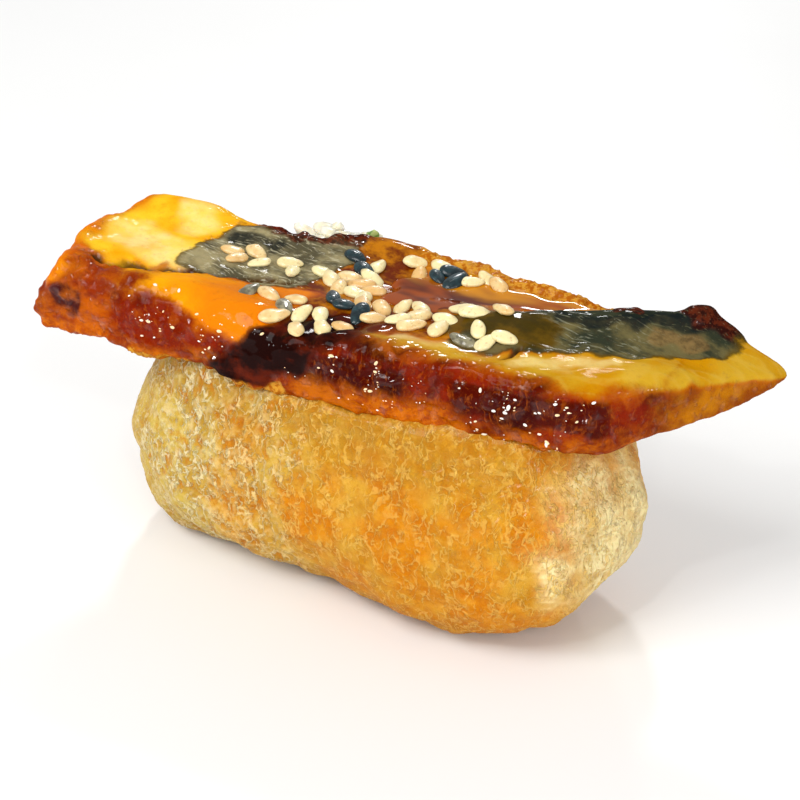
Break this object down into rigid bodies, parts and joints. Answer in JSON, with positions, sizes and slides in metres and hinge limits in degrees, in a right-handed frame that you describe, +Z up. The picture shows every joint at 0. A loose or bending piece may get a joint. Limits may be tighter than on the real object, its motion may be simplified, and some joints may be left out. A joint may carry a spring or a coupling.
{
  "type": "inari sushi",
  "caption": "Plump fried tofu pouch filled with rice, topped with a long glazed eel slice that overhangs both ends.",
  "frame": {"origin": "middle of the flat patch that the pouch rests on", "axes": "+X along the pouch towards the pointed end of the eel slice, +Y to the back, +Z up"},
  "size_m": [0.083, 0.0327, 0.0372],
  "materials": {
    "tofu": "golden fried tofu skin with fine pores and wrinkles",
    "rice": "moist cooked short-grain rice",
    "eel": "grilled eel under dark glossy glaze"
  },
  "bodies": {
    "root": {"tofu_pouch": "tofu", "rice_filling": "rice", "eel_slice": "eel"}
  },
  "joints": []
}
